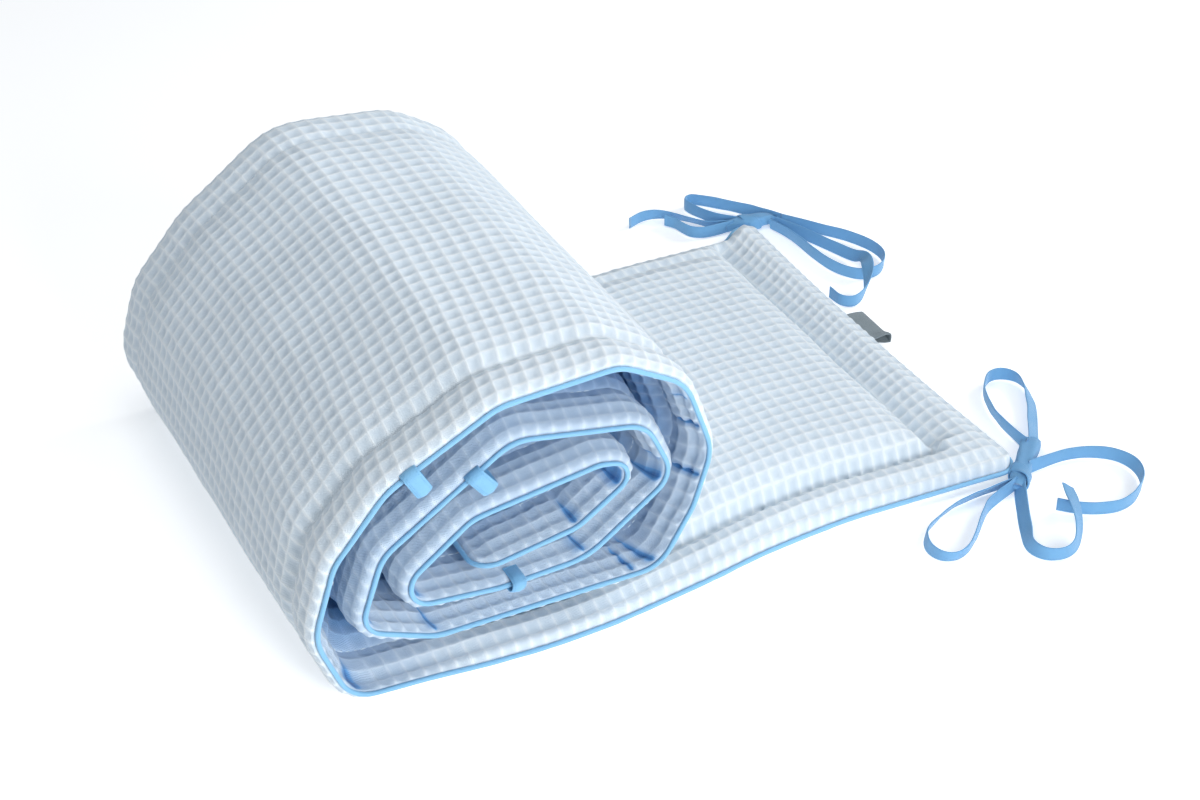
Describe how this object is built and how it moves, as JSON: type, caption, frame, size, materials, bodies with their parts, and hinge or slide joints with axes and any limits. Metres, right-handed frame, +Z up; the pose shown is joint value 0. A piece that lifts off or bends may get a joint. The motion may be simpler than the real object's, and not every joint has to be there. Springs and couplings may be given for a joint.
{
  "type": "crib bumper",
  "caption": "Padded waffle-cloth strip with a corded edge, wound into a loose flattened roll with its free end lying flat and tape bows at the corners.",
  "frame": {"origin": "on the surface the strip lies on, under the middle of the panel's footprint, without the tape bows", "axes": "+X along the free end of the strip, away from the roll; +Y across the strip, from the edge nearest the camera to the far edge; +Z up"},
  "size_m": [0.4783, 0.4233, 0.159],
  "materials": {
    "cloth": "pale blue cotton waffle weave, matt",
    "piping": "sky blue bias-bound cord, matt",
    "tape": "blue woven tape with a slight sheen",
    "tab": "light blue woven tape, matt",
    "label": "grey woven label, bare"
  },
  "bodies": {
    "root": {"padded_panel": "cloth", "piping": "piping", "near_tie_knot": "tape", "near_tie_loop_upper": "tape", "near_tie_loop_lower": "tape", "near_tie_end_right": "tape", "near_tie_end_lower": "tape", "far_tie_knot": "tape", "far_tie_loop_left": "tape", "far_tie_loop_right": "tape", "far_tie_end_left": "tape", "far_tie_end_short": "tape", "far_tie_end_right": "tape", "tab_outer_wrap": "tab", "tab_second_wrap": "tab", "tab_heart": "tab", "side_label": "label"}
  },
  "joints": []
}
